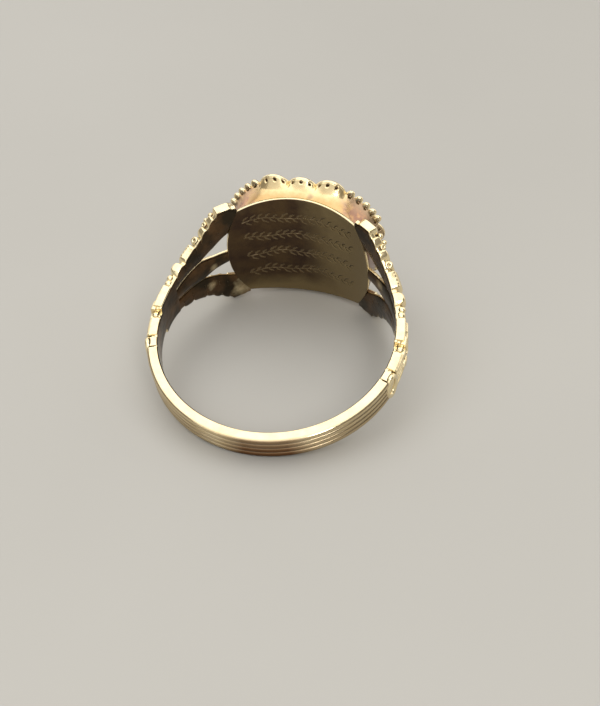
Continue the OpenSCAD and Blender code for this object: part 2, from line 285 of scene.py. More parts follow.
# The gallery is pale in its middle and tarnished pinkish brown towards the shoulders, with a mauve spot. Its
# sides are painted dark as shade, and the edge of its cove is painted bright as a highlight
def galleryTarnishAndPaintedLight(tree, inRing, colour):
    axes = addNode(tree, "SeparateXYZ", links={"Vector": inRing})
    side = addNode(tree, "Math", {"operation": "ABSOLUTE"}, {0: axes.outputs["X"]})
    reach = addNode(tree, "MapRange", {"From Min": 2.2, "From Max": 5.0, "To Max": 0.7}, {"Value": side})
    patches = addNode(tree, "TexNoise", {"Scale": 1.5, "Detail": 6.0, "Roughness": 0.65}, {"Vector": inRing})
    both = addNode(tree, "Math", {"operation": "ADD"}, {0: reach, 1: patches})
    edge = addNode(tree, "ValToRGB", links={"Fac": both})
    rampStops(edge, [(0.75, 0.0), (1.05, 0.85)])
    atRight = addNode(tree, "MapRange", {"From Min": 3.0, "From Max": 4.4, "To Max": 0.1},
                      {"Value": axes.outputs["X"]})
    browner = addNode(tree, "Math", {"operation": "ADD"}, {0: patches, 1: atRight})
    tarnish = addNode(tree, "ValToRGB", links={"Fac": browner})
    rampStops(tarnish, [(0.4, "#E0BA8E"), (0.5, "#D29C7A"), (0.62, "#AE8474")])
    pink = addNode(tree, "Mix", {}, {"Factor": edge, "A": colour, "B": tarnish})
    # painted shade: the wall's sides, seen through the gaps between the arms, are painted dark brown
    behind = addNode(tree, "MapRange", {"From Min": 4.95, "From Max": 5.35, "To Max": 0.85}, {"Value": side})
    shaded = addNode(tree, "Mix", {"B": "#6B4C3A"}, {"Factor": behind, "A": pink})
    away = addNode(tree, "VectorMath", {"operation": "DISTANCE", 1: (0.9, 9.5, 5.65)}, {0: inRing})
    uneven = addNode(tree, "Math", {"operation": "MULTIPLY_ADD", 1: 0.4}, {0: patches, 2: away})
    spot = addNode(tree, "MapRange", {"From Min": 0.36, "From Max": 0.52, "To Min": 0.6, "To Max": 0.0},
                   {"Value": uneven})
    mauve = addNode(tree, "Mix", {"B": "#8C7160"}, {"Factor": spot, "A": shaded})
    # painted highlight: the edge of the cove is painted bright, less so towards its ends
    upTo = addNode(tree, "Math", {"operation": "MULTIPLY_ADD", 1: 1.2}, {0: patches, 2: axes.outputs["Y"]})
    mostHighlight = addNode(tree, "MapRange", {"From Min": 2.4, "From Max": 4.0, "To Min": 1.0, "To Max": 0.3},
                         {"Value": side})
    paintedHighlight = addNode(tree, "MapRange", {"From Min": 9.8, "From Max": 10.9},
                     {"Value": upTo, "To Max": mostHighlight})
    return addNode(tree, "Mix", {"B": "#F6E2B0"}, {"Factor": paintedHighlight, "A": mauve})


galleryGold = goldMaterial("galleryGold", {
    "gold": "#D2B37E", "worn": "#C8A470", "cloudPerMm": 0.7, "cloudRamp": [(0.4, 0.0), (0.65, 1.0)],
    "skinAndShade": ("#5A4530", "#7A6040"), "skinAndShadeShare": 0.5,
    "shadeAndDirt": "#7A4A38", "shadeAndDirtReach": 0.25, "shadeAndDirtRamp": [(0.2, 0.8), (0.7, 0.0)], "shadeAndDirtRough": 0.25,
    "rough": (0.2, 0.36), "scratchPerMm": (4.0, 14.0, 4.0), "scratchDepth": 0.003,
    "dentPerMm": 1.2, "dentDepth": 0.03, "tintsAndPaintedLight": galleryTarnishAndPaintedLight,
})


# The plate is dark brown in its middle, olive towards its right side and tan along its lower edge: partly
# patina, partly painted shade and painted light for what the plate reflects. The engraved cuts are dark where
# the plate is pale, and their lips carry a painted highlight
def platePatinaAndPaintedLight(tree, inRing, colour):
    filmAndShade = addNode(tree, "TexNoise", {"Scale": 0.5, "Detail": 6.0, "Roughness": 0.6}, {"Vector": inRing})
    axes = addNode(tree, "SeparateXYZ", links={"Vector": inRing})
    right = addNode(tree, "MapRange", {"From Min": -0.3, "From Max": 4.6}, {"Value": axes.outputs["X"]})
    low = addNode(tree, "MapRange", {"From Min": -3.2, "From Max": -5.2, "To Max": 0.8},
                  {"Value": axes.outputs["Z"]})
    most = addNode(tree, "Math", {"operation": "MAXIMUM"}, {0: right, 1: low})
    both = addNode(tree, "Math", {"operation": "MULTIPLY_ADD", 1: 0.7}, {0: filmAndShade, 2: most})
    edge = addNode(tree, "ValToRGB", links={"Fac": both})
    rampStops(edge, [(0.4, 0.0), (1.0, 0.85)])
    paintedLightRightAndLow = addNode(tree, "Mix", {"B": "#9A8862"}, {"Factor": edge, "A": colour})
    cut = addNode(tree, "Attribute", {"attribute_name": "engraved"}).outputs["Fac"]
    # painted highlight: the lips of the cuts are painted bright
    lip = addNode(tree, "ValToRGB", links={"Fac": cut})
    rampStops(lip, [(0.0, 0.0), (0.1, 0.6), (0.4, 0.0)])
    paintedHighlight = addNode(tree, "Mix", {"B": "#B5A17A"}, {"Factor": lip, "A": paintedLightRightAndLow})
    # painted highlight: cuts are painted bright where the plate is dark, and are dark where it is pale
    inCut = addNode(tree, "Mix", {"A": "#8C7A5E", "B": "#1C140C"}, {"Factor": edge})
    deep = addNode(tree, "MapRange", {"From Min": 0.3, "From Max": 0.7, "To Max": 0.9}, {"Value": cut})
    return addNode(tree, "Mix", {}, {"Factor": deep, "A": paintedHighlight, "B": inCut})


# the plate's dark brown is partly patina and partly painted shade for the dark reflections on its inside
plateGold = goldMaterial("plateGold", {
    "gold": "#4A392D", "worn": "#665238", "cloudPerMm": 0.6, "cloudRamp": [(0.35, 0.0), (0.7, 1.0)],
    "skinAndShade": ("#4E3A26", "#4E3A26"), "skinAndShadeShare": 0.0,
    "shadeAndDirt": "#2A1D12", "shadeAndDirtReach": 0.2, "shadeAndDirtRamp": [(0.2, 0.6), (0.7, 0.0)], "shadeAndDirtRough": 0.2,
    "rough": (0.16, 0.3), "scratchPerMm": (2.5, 2.5, 18.0), "scratchDepth": 0.003,
    "dentPerMm": 0.6, "dentDepth": 0.03, "tintsAndPaintedLight": platePatinaAndPaintedLight,
})

# Shank: a band with four reeds round the outside and a plain inside
shankLook = {"wall": 0.88, "reeds": 4, "groove": 0.2, "end": 70, "steps": 140, "round": 0.08, "arcPoints": 9}


def makeShank():
    s = shankLook
    half = ring["shankWidth"] / 2
    pitch = ring["shankWidth"] / s["reeds"]
    reedR = pitch / 2
    reedAt = holeR + s["wall"] - reedR
    lip = acos(1 - s["groove"] / reedR)
    profile = [(holeR + s["round"], -half), (holeR, s["round"] - half), (holeR, half - s["round"]),
               (holeR + s["round"], half)]
    for k in range(s["reeds"]):
        top = pi / 2 if k == 0 else lip
        low = -pi / 2 if k == s["reeds"] - 1 else -lip
        for n in range(s["arcPoints"]):
            a = top + (low - top) * n / (s["arcPoints"] - 1)
            profile.append((reedAt + reedR * cos(a), half - (k + 0.5) * pitch + reedR * sin(a)))
    bm = bmesh.new()
    verts = [bm.verts.new(onHoop(-s["end"], r, z)) for r, z in profile]
    edges = [bm.edges.new((verts[i], verts[(i + 1) % len(verts)])) for i in range(len(verts))]
    bmesh.ops.spin(bm, geom=verts + edges, cent=(0, 0, 0), axis=(0, 0, 1), dvec=(0, 0, 0),
                   angle=radians(2 * s["end"]), steps=s["steps"], use_duplicate=False, use_merge=False)
    bmesh.ops.holes_fill(bm, edges=[e for e in bm.edges if e.is_boundary], sides=0)
    return addPiece(bm, "reeded_shank", polishedBandGold, "gold_ring")


makeShank()

# Shoulders: each opens from a collar into three leafy arms that hold the head
shoulderLook = {
    "fanStart": 90, "fanEnd": 139.5, "fanRoot": 1.6, "tipHalf": 5.35, "fanPower": 2.3, "tipEnd": 149.4,
    "armStart": 102.5,
    # bars over the whole height: start, end, inset from the edge, thickness at the edge and at the crown
    "bars": [(68.5, 106, 0.06, 0.3, 0.3), (68.5, 104, 0.13, 0.56, 0.62), (70.2, 76.3, 0.0, 0.8, 0.82),
             (76.6, 87.4, 0.0, 0.8, 0.82), (91.0, 103.6, 0.0, 0.8, 0.84)],
    # raised on those bars, from this height over the hole: reeds that go on from the shank, an almond between
    # two pairs of ribs, and a scroll. Start, end, and half height or lower and upper edge or both insets.
    "raisedFrom": 0.5, "reeds": (76.8, 87.2), "almond": (91.9, 103.0, 0.62),
    "ribs": [(93.4, 0.66, 1.0), (96.4, 1.04, 1.4)], "scroll": (84.5, 95.5, 0.62, 0.16),
    # their thickness at the edge and at the crown, squareness, and rounding of the ends
    "reedForm": ((0.76, 0.91), (0.9, 0.9), 0.6), "almondForm": ((0.8, 0.97), (0.85, 0.85), 1.0),
    "ribForm": ((0.78, 0.95), (0.8, 0.8), 1.2), "scrollForm": ((0.9, 0.95), (0.5, 0.5), 1.6),
    # angle and half height of the middle arm, and angle and inner edge of an outer arm
    "middle": [(102, 0.5), (126, 1.08), (133, 0.78), (142.5, 0.6)],
    "inner": [(102, 0.5), (126, 1.08), (134, 1.68), (140.5, 2.35), (151, 3.2)],
    "arm": (0.5, 0.6),     # thickness at the edge and at the crown
    "armInset": 0.13, "leafOver": 0.1, "roundEdge": 0.9, "sharpEdge": 0.31,
    # leaves on the outer arms: start, end, how far past the edge, thickness at edge and crown, round ends
    "leaves": [(108.9, 115.8, 0.08, 0.88, 1.0, 3.0), (116.1, 124.6, 0.02, 0.8, 1.04, 1.6),
               (124.7, 128.3, -0.08, 0.74, 0.96, 1.0), (128.2, 133.2, 0.04, 0.78, 0.96, 2.2),
               (133.1, 138.0, 0.02, 0.78, 0.96, 2.0), (137.8, 149.4, 0.0, 0.92, 0.97, 2.0)],
    # leaves on the middle arm: start, end, thickness at the crown
    "midLeaves": [(105.5, 114.5, 0.92), (114.7, 124.7, 0.95), (124.9, 134.5, 0.9)],
    "midLeafEdge": 0.5, "midLeafForm": ((0.6, 0.6), 1.6), "midLeafFrom": 0.2,
    # beads: angle, radius, height over the hole, distance in from the edge
    "beads": [(89.2, 0.33, 0.52, 0.26), (87.9, 0.14, 0.16, 0.1),
              (105.0, 0.34, 0.46, 0.26), (107.6, 0.3, 0.56, 0.22),
              (135.4, 0.22, 0.98, 0.34), (138.0, 0.24, 0.95, 0.4)],
    # pierced ring beads on the edge: angle, ring radius, wire radius, height over the hole
    "eyes": [(126.4, 0.2, 0.13, 0.5), (133.1, 0.14, 0.1, 0.62)], "eyeInset": 0.12,
    "veinPitch": 1.5, "veinDepth": 0.06, "veinLean": 0.6, "veined": (116.4, 124.4),
    # the leaf tip narrows from this angle, by this much, and two fine lines run along its rim
    "tipFrom": 145.5, "tipNarrows": 0.3, "tipLines": (0.36, 0.68), "lineDepth": 0.08, "lineWidth": 0.06,
}


def fromTable(table, angle):
    return float(np.interp(angle, [row[0] for row in table], [row[1] for row in table]))


def edgeHalf(angle):
    s = shoulderLook
    if angle < s["fanStart"]:
        return ring["shankWidth"] / 2
    share = (min(angle, s["fanEnd"]) - s["fanStart"]) / (s["fanEnd"] - s["fanStart"])
    return s["fanRoot"] + (s["tipHalf"] - s["fanRoot"]) * share ** s["fanPower"]


# A bar along the hoop with rounded corners: edges(a) gives its lower and upper z, and thick its thickness
# at the edges and at the crown. A low squareness, for the lower and the upper edge, makes sharp corners.
def hoopBar(bm, side, start, end, edges, thick, squareness=(0.25, 0.25), tipRound=0.5, around=32, perDegree=4,
            lift=0.0, detail=None):
    def place(turn, way):
        angle = start + (end - start) * way
        t = 2 * pi * turn
        square = squareness[1] if cos(t) > 0 else squareness[0]
        across, up = signedPower(cos(t), square), signedPower(sin(t), square)
        low, high = edges(angle)
        near = min(angle - start, end - angle)
        taper = 1.0 if near >= tipRound else sqrt(max(1 - (1 - near / tipRound) ** 2, 0.02))
        z = (low + high) / 2 + (high - low) / 2 * across * (0.5 + 0.5 * taper)
        share = (up + 1) / 2
        r = holeR + lift + (thick[0] - lift + (thick[1] - thick[0]) * (1 - across * across)) * share * taper
        if detail:
            r, z = detail(angle, r, z, across, up, share)
        p = onHoop(angle, r, z)
        p.x *= side
        return p
    rollTube(bm, around, max(4, int((end - start) * perDegree)), place)


def makeShoulder(name, side):
    s = shoulderLook
    lift = s["raisedFrom"]
    bm = bmesh.new()
    for start, end, inset, edgeT, crownT in s["bars"]:
        hoopBar(bm, side, start, end, lambda a, inset=inset: (inset - edgeHalf(a), edgeHalf(a) - inset),
                (edgeT, crownT), tipRound=0.7, perDegree=3)
    start, end = s["reeds"]
    pitch = ring["shankWidth"] / shankLook["reeds"]
    for k in range(shankLook["reeds"]):
        low = k * pitch - ring["shankWidth"] / 2
        hoopBar(bm, side, start, end, lambda a, low=low: (low, low + pitch), *s["reedForm"], around=20,
                lift=lift)
    start, end, half = s["almond"]

    def almondEdges(a):
        h = half * sin(pi * min(max((a - start) / (end - start), 0), 1)) ** 0.6
        return -h, h

    hoopBar(bm, side, start, end, almondEdges, *s["almondForm"], around=28, lift=lift)
    for ribStart, low, high in s["ribs"]:
        for up in (1, -1):
            hoopBar(bm, side, ribStart, end, lambda a: sorted((up * low, up * high)), *s["ribForm"],
                    around=20, lift=lift)

    def midEdges(a, inset=0.0):
        h = fromTable(s["middle"], a) + 0.01 - inset
        return -h, h

    hoopBar(bm, side, s["armStart"], s["middle"][-1][0], midEdges, s["arm"], (s["roundEdge"], s["roundEdge"]))
    for start, end, crownT in s["midLeaves"]:
        hoopBar(bm, side, start, end, lambda a: midEdges(a, s["leafOver"]), (s["midLeafEdge"], crownT),
                *s["midLeafForm"], lift=s["midLeafFrom"])
    for up in (1, -1):
        def between(low, high, up=up):
            return (low, high) if up > 0 else (-high, -low)

        def armEdges(a, between=between):
            return between(fromTable(s["inner"], a) - 0.01, edgeHalf(a) - s["armInset"])

        corners = (s["roundEdge"], s["sharpEdge"])[::up]
        hoopBar(bm, side, s["armStart"], s["tipEnd"], armEdges, s["arm"], corners, lift=0.03)

        def veins(angle, r, z, across, upward, share):
            if upward > 0 and s["veined"][0] < angle < s["veined"][1]:
                wave = cos(2 * pi * (angle - s["veinLean"] * abs(z)) / s["veinPitch"])
                r -= s["veinDepth"] * (0.5 - 0.5 * wave) * upward
            return r, z

        def tipLines(angle, r, z, across, upward, share, up=up):
            if across * up > 0.8:
                for line in s["tipLines"]:
                    z -= up * s["lineDepth"] * exp(-((share - line) / s["lineWidth"]) ** 2)
            return r, z

        for start, end, out, edgeT, crownT, tipRound in s["leaves"]:
            last = end == s["tipEnd"]

            def leafEdges(a, out=out, between=between, last=last):
                high = edgeHalf(a) + out
                if last:
                    high -= s["tipNarrows"] * smoothStep(a, s["tipFrom"], s["tipEnd"])
                return between(fromTable(s["inner"], a) + s["leafOver"], high)
            hoopBar(bm, side, start, end, leafEdges, (edgeT, crownT), corners, tipRound, around=56,
                    perDegree=5, detail=tipLines if last else veins)

        start, end, far, near = s["scroll"]
        hoopBar(bm, side, start, end, lambda a: between(edgeHalf(a) - far, edgeHalf(a) - near),
                *s["scrollForm"], around=16, lift=lift)
        for angle, r, height, inset in s["beads"]:
            at = onHoop(angle, holeR + height, up * (edgeHalf(angle - 1.5) - inset))
            at.x *= side
            bmesh.ops.create_uvsphere(bm, u_segments=20, v_segments=12, radius=r,
                                      matrix=Matrix.Translation(at))
        for angle, ringR, wireR, height in s["eyes"]:
            rise = (edgeHalf(angle + 0.5) - edgeHalf(angle - 0.5)) / radians(holeR)
            at = onHoop(angle, holeR + height, up * (edgeHalf(angle) - s["eyeInset"]))
            outward = onHoop(angle, 1, 0)
            along = Vector((-outward.y, outward.x, up * rise)).normalized()
            normal = outward.cross(along)

            def place(turn, way):
                a, b = 2 * pi * turn, 2 * pi * way
                reach = ringR + wireR * cos(b)
                p = at + reach * (cos(a) * along + sin(a) * outward) + wireR * sin(b) * normal
                p.x *= side
                return p
            rollTube(bm, 24, 12, place)
    return addPiece(bm, name, castShoulderGold, "gold_ring", sharpFrom=50)


# Upright oval boss where the reeds end: a rounded rim round a dished face. The dish's rows are its share of
# the oval inside the rim and its distance from the hole's axis.
bossLook = {"angle": 73.3, "halfWidth": 0.86, "halfHeight": 1.26, "rimR": 0.23, "rimAt": 9.74,
            "dish": [(0.02, 9.66), (0.35, 9.67), (0.7, 9.74), (0.86, 9.78), (0.86, 9.3), (0.02, 9.3)]}


def makeBosses():
    b = bossLook
    bm = bmesh.new()
    for side in (1, -1):
        def onBoss(turn, share, r):
            t = 2 * pi * turn
            across = degrees((b["halfWidth"] - b["rimR"]) * share * cos(t) / r)
            return onHoop(side * (b["angle"] + across), r, (b["halfHeight"] - b["rimR"]) * share * sin(t))

        def rim(turn, way):
            a = 2 * pi * way
            grow = b["rimR"] * cos(a) / ((b["halfWidth"] + b["halfHeight"]) / 2 - b["rimR"])
            return onBoss(turn, 1 + grow, b["rimAt"] + b["rimR"] * sin(a))

        def dish(turn, way):
            return onBoss(turn, *b["dish"][round(way * (len(b["dish"]) - 1))])
        rollTube(bm, 48, 14, rim)
        rollTube(bm, 48, len(b["dish"]) - 1, dish)
    return addPiece(bm, "oval_bosses", castShoulderGold, "gold_ring", sharpFrom=50)


makeShoulder("right_shoulder", 1)
makeShoulder("left_shoulder", -1)
makeBosses()

# Back plate: a bowed sheet on the finger side of the head, engraved with four rows of laurel
plateLook = {
    "sheet": 0.22, "sideAt": 141.0, "sideTop": 149.4, "sidePower": 2.4, "cells": (230, 200),
    "rows": [3.45, 1.5, -0.55, -2.7], "rowReach": 4.6, "period": 4.2, "sway": 0.12, "rowTurn": 2.1,
    "stemStep": 0.3, "leafPitch": 0.31, "leafTurn": 47, "leafBend": 16,
    "leaves": [0.82, 0.6, 0.72, 0.5, 0.66],      # lengths in mm, in turn
    "thin": 0.02, "wide": 0.05, "depth": 0.05, "cutReach": 0.2, "fullDepth": 1.4,
}


def plateTop(x, y):
    bow = ring["bowR"] + ring["flare"] * (y - holeR)
    return ring["plateHalf"] - ring["bowR"] + sqrt(bow * bow - x * x)


# Cuts of the laurel: two ends and a half width at each end. Leaves grow from both sides of the stem in turn.
def laurelCuts():
    p = plateLook
    cuts = []
    for row, middle in enumerate(p["rows"]):
        def stem(x, row=row, middle=middle):
            return middle + p["sway"] * sin(2 * pi * x / p["period"] + p["rowTurn"] * row)
        for k in range(int(2 * p["rowReach"] / p["stemStep"])):
            x = k * p["stemStep"] - p["rowReach"]
            cuts.append((x, stem(x), x + p["stemStep"], stem(x + p["stemStep"]), p["thin"], p["thin"]))
        for k in range(int(2 * p["rowReach"] / p["leafPitch"])):
            x, way = k * p["leafPitch"] - p["rowReach"], 1 if k % 2 == 0 else -1
            z, half = stem(x), p["leaves"][(k + 2 * row) % len(p["leaves"])] / 2
            for turn, widths in ((p["leafTurn"] + p["leafBend"], ("thin", "wide")),
                                 (p["leafTurn"] - p["leafBend"], ("wide", "thin"))):
                x1, z1 = x + half * cos(radians(turn)), z + way * half * sin(radians(turn))
                cuts.append((x, z, x1, z1, p[widths[0]], p[widths[1]]))
                x, z = x1, z1
    return np.array(cuts)


# How deep the engraving is at points (arc, z), from 0 to 1
def engravedDepth(points):
    p = plateLook
    deep = np.zeros(len(points))
    for x0, z0, x1, z1, w0, w1 in laurelCuts():
        lowest = np.array((min(x0, x1), min(z0, z1))) - p["cutReach"]
        highest = np.array((max(x0, x1), max(z0, z1))) + p["cutReach"]
        near = np.nonzero(((points > lowest) & (points < highest)).all(axis=1))[0]
        along = np.array((x1 - x0, z1 - z0))
        rel = points[near] - (x0, z0)
        t = np.clip(rel @ along / (along @ along), 0, 1)
        away = np.linalg.norm(rel - t[:, None] * along, axis=1)
        width = w0 + (w1 - w0) * t
        deep[near] = np.maximum(deep[near], np.clip(p["fullDepth"] - away / width, 0, 1))
    return deep


def makePlate():
    p = plateLook
    bm = bmesh.new()
    bmesh.ops.create_grid(bm, x_segments=p["cells"][0], y_segments=p["cells"][1], size=1.0)
    flat = np.zeros((len(bm.verts), 2))
    for n, v in enumerate(bm.verts):
        u, w = v.co.x, v.co.y
        side = p["sideAt"] + (p["sideTop"] - p["sideAt"]) * abs(w) ** p["sidePower"]
        angle = 180 + u * (180 - side)
        x, y = holeR * sin(radians(angle)), -holeR * cos(radians(angle))
        z = w * plateTop(x, y)
        flat[n] = (-radians(angle - 180) * holeR, z)
        v.co = Vector((angle, 0, z))
    deep = engravedDepth(flat)
    for n, v in enumerate(bm.verts):
        v.co = onHoop(v.co.x, holeR + p["depth"] * deep[n], v.co.z)
    bmesh.ops.recalc_face_normals(bm, faces=bm.faces)
    middle = min(bm.faces, key=lambda f: f.calc_center_median().xz.length)
    if middle.normal.y > 0:
        bmesh.ops.reverse_faces(bm, faces=bm.faces)
    plate = addPiece(bm, "back_plate", plateGold, "gold_ring", sharpFrom=60, thick=p["sheet"])
    plate.data.materials.append(polishedBandGold)
    plate.modifiers["sheet"].material_offset_rim = 1
    cut = plate.data.attributes.new("engraved", "FLOAT", "POINT")
    cut.data.foreach_set("value", deep.astype(np.float32))
    return plate


makePlate()

# Gallery and border: a flared wall that opens into a scalloped, pierced rim
borderLook = {
    "halfHeight": 6.345, "halfWidth": 6.4, "lobeR": 1.27, "lobePitch": 2.15,
    "beadR": 0.3, "beadAt": 6.45, "beads": 5, "beadFrom": 36.5, "beadTo": 65,
    "holeTurn": 34, "holeIn": 0.27, "holeHalf": 0.13, "blockCells": 4, "betweenCells": 9,
    "coveStart": 9.7, "coveEnd": 10.48, "coveCurve": 1.3, "coveAtBeads": 0.1,
    "beadZone": (32, 35, 65, 68),     # where the cove's edge falls back for the beads and comes out again
    "backSlope": 0.5, "slopeTo": 0.45,
    "edgeRound": 0.08, "roundRows": (0.0, 0.08, 0.3, 0.65), "innerRows": (0.46, 0.56), "toCollet": 9.0,
    "leastLedge": 0.04, "coveIn": 0.03, "roundCrystal": 0.2,
}


# Round outlines that make up the border: x, z, radius, and the directions of their holes
def borderCircles():
    b = borderLook
    circles = []
    turns = (-b["holeTurn"], 0, b["holeTurn"])
    for way in (1, -1):
        for k in (-1, 0, 1):
            circles.append((k * b["lobePitch"], way * (b["halfHeight"] - b["lobeR"]), b["lobeR"],
                            [90 * way + t for t in turns]))
        for k in (-0.5, 0.5):
            circles.append((way * (b["halfWidth"] - b["lobeR"]), k * b["lobePitch"], b["lobeR"],
                            [90 - 90 * way + t for t in turns]))
        for side in (1, -1):
            for k in range(b["beads"]):
                a = b["beadFrom"] + (b["beadTo"] - b["beadFrom"]) * k / (b["beads"] - 1)
                x, z = side * sin(radians(a)), way * cos(radians(a))
                circles.append((b["beadAt"] * x, b["beadAt"] * z, b["beadR"], [degrees(atan2(z, x))]))
    return circles


borderRound = borderCircles()


# Distance from the middle of the head to the plain gallery wall at depth y, in the direction of angle
def wallReach(angle, y):
    cx, sz = abs(cos(angle)) + 1e-6, abs(sin(angle)) + 1e-6
    side = (ring["wallHalfWidth"] + ring["flare"] * (y - ring["blockStart"]) / 2) / cx
    bow = ring["bowR"] + ring["flare"] * (y - holeR)
    drop = ring["bowR"] - ring["plateHalf"]
    top = -drop * sz + sqrt(bow * bow - drop * drop * cx * cx)
    blend = ring["cornerBlend"]
    return (side ** -blend + top ** -blend + ring["cornerR"] ** -blend) ** (-1 / blend)


# The same to the border's edge
def borderReach(angle):
    cx, sz = cos(angle), sin(angle)
    reach = wallReach(angle, ring["borderBack"]) + borderLook["leastLedge"]
    for x, z, r, _ in borderRound:
        along = x * cx + z * sz
        rest = r * r - (x * x + z * z - along * along)
        if along > 0 and rest > 0:
            reach = max(reach, along + sqrt(rest))
    return reach


# The same to the cove, which opens into the lobes and leaves the beads of the corners free
def coveReach(angle, y):
    b = borderLook
    fromTop = degrees(atan2(abs(cos(angle)), abs(sin(angle))))
    beads = smoothStep(fromTop, *b["beadZone"][:2]) * (1 - smoothStep(fromTop, *b["beadZone"][2:]))
    whole = borderReach(angle) - b["coveIn"] - wallReach(angle, b["coveEnd"])
    whole += (b["coveAtBeads"] - whole) * beads
    share = max((y - b["coveStart"]) / (b["coveEnd"] - b["coveStart"]), 0) ** b["coveCurve"]
    return wallReach(angle, y) + whole * share


# Columns of the pierced sheets: an angle, and its place in a hole's block from -1 to 1, or None between two
def borderColumns():
    b = borderLook
    cells = b["blockCells"]
    holes = []
    for x, z, r, directions in borderRound:
        for d in directions:
            away = 0.0 if len(directions) == 1 else r
            holes.append(atan2(z + away * sin(radians(d)), x + away * cos(radians(d))))
    holes.sort()
    columns = []
    for n, at in enumerate(holes):
        width = b["holeHalf"] / borderReach(at)
        columns += [(at + width * (2 * k / cells - 1), 2 * k / cells - 1) for k in range(cells + 1)]
        after = holes[n + 1] if n + 1 < len(holes) else holes[0] + 2 * pi
        start, end = at + width, after - b["holeHalf"] / borderReach(after)
        between = b["betweenCells"]
        columns += [(start + (end - start) * k / between, None) for k in range(1, between)]
    columns.append((columns[0][0] + 2 * pi, -1.0))
    return columns


# Rows through a line of holes: a value, and its place in a hole's block from -1 to 1
def holeRows(middle, half):
    cells = borderLook["blockCells"]
    return [(middle + half * t, t) for t in (2 * k / cells - 1 for k in range(cells + 1))]


# A sheet with a round hole in each block of cells: rows give a value, and a place in the block or None.
# put(angle, value) places a vertex, and half is half a hole's size in the rows' unit.
def piercedSheet(bm, rows, half, put):
    b = borderLook
    cells = b["blockCells"]
    columns = borderColumns()
    wide, high = len(columns) - 1, len(rows) - 1
    first = min(n for n, (_, t) in enumerate(rows) if t is not None)
    made = bmesh.ops.create_grid(bm, x_segments=wide, y_segments=high, size=0.5)["verts"]
    gone = []
    for f in bm.faces:
        c = f.calc_center_median()
        i, j = int((c.x + 0.5) * wide), int((c.y + 0.5) * high)
        if first <= j < first + cells and i % (cells + b["betweenCells"]) < cells:
            gone.append(f)
    bmesh.ops.delete(bm, geom=gone, context="FACES")
    for v in [v for v in made if v.is_valid]:
        angle, s = columns[round((v.co.x + 0.5) * wide)]
        value, t = rows[round((v.co.y + 0.5) * high)]
        if s is not None and t is not None:
            pull = max(abs(s), abs(t)) / hypot(s, t) - 1
            angle += s * pull * b["holeHalf"] / borderReach(angle)
            value += t * pull * half
        v.co = put(angle, value)
    bmesh.ops.remove_doubles(bm, verts=bm.verts, dist=1e-4)


# The wall keeps a little off the back plate, more so at the sides where the arms hide it
galleryLook = {
    "thick": 0.3, "rows": 18, "dotFromEdge": 0.17, "dotHalf": 0.09, "sideDepth": 8, "sideMost": 5.6,
    "hidden": (4.6, 5.3), "offPlate": (0.13, 0.15), "inset": (0.08, 0.2), "insetDepth": 0.5,
}


def makeGallery():
    g = galleryLook
    bm = bmesh.new()
    end = borderLook["coveEnd"]

    # below the row of dots the rows are spread evenly over the wall, from 0 at the plate to 1
    def put(angle, value):
        x = min(abs(wallReach(angle, g["sideDepth"]) * cos(angle)), g["sideMost"])
        hidden = smoothStep(x, *g["hidden"])
        near = sqrt((holeR + g["offPlate"][0] + g["offPlate"][1] * hidden) ** 2 - x * x)
        y = value if value > 2 else near + (end - g["dotFromEdge"] - g["dotHalf"] - near) * value
        inset = (g["inset"][0] + g["inset"][1] * hidden) * (1 - smoothStep(y, near, near + g["insetDepth"]))
        reach = coveReach(angle, y) - inset
        return Vector((reach * cos(angle), y, reach * sin(angle)))

    rows = [(k / g["rows"], None) for k in range(g["rows"])]
    rows += holeRows(end - g["dotFromEdge"], g["dotHalf"]) + [(end, None)]
    piercedSheet(bm, rows, g["dotHalf"], put)
    bmesh.ops.recalc_face_normals(bm, faces=bm.faces)
    top = max(bm.faces, key=lambda f: f.calc_center_median().z)
    if top.normal.z < 0:
        bmesh.ops.reverse_faces(bm, faces=bm.faces)
    return addPiece(bm, "gallery_wall", galleryGold, "gold_ring", sharpFrom=60, thick=g["thick"])


def makeBorder():
    b = borderLook
    bm = bmesh.new()

    # how far the rounded edge falls back at a distance in from it
    def curl(inward):
        return b["edgeRound"] * (1 - sqrt(1 - min(max(1 - inward / b["edgeRound"], 0), 1) ** 2))

    def put(angle, inward):
        cx, sz = cos(angle), sin(angle)
        if inward == b["toCollet"]:
            halfW, halfH = (ring[key] + b["roundCrystal"] for key in ("crystalHalfW", "crystalHalfH"))
            reach = 1 / cushionShare(cx, sz, halfW, halfH)
            return Vector((reach * cx, b["coveEnd"], reach * sz))
        reach = borderReach(angle) - inward
        y = b["coveEnd"] + curl(inward) - b["backSlope"] * min(inward, b["slopeTo"])
        return Vector((reach * cx, y, reach * sz))

    rows = [(b["edgeRound"] * share, None) for share in b["roundRows"]]
    rows += holeRows(b["holeIn"], b["holeHalf"])
    rows += [(inward, None) for inward in (*b["innerRows"], b["toCollet"])]
    piercedSheet(bm, rows, b["holeHalf"], put)
    front = bmesh.ops.extrude_face_region(bm, geom=bm.faces[:])["geom"]
    for v in front:
        if isinstance(v, bmesh.types.BMVert):
            inward = borderReach(atan2(v.co.z, v.co.x)) - hypot(v.co.x, v.co.z)
            v.co.y = borderFront - curl(inward)
    return addPiece(bm, "scalloped_border", castShoulderGold, "gold_ring", sharpFrom=50)


makeGallery()
makeBorder()

# Collet: a low rim that is rubbed over the edge of the crystal. Its section's rows are the distance out from
# the crystal's edge and the height over the border's front.
colletLook = {"section": [(-0.02, -0.25), (0.45, -0.25), (0.45, 0.1), (0.39, 0.22), (0.25, 0.28), (0.13, 0.3),
                          (0.02, 0.28), (-0.06, 0.22), (-0.02, 0.16)], "around": 192}


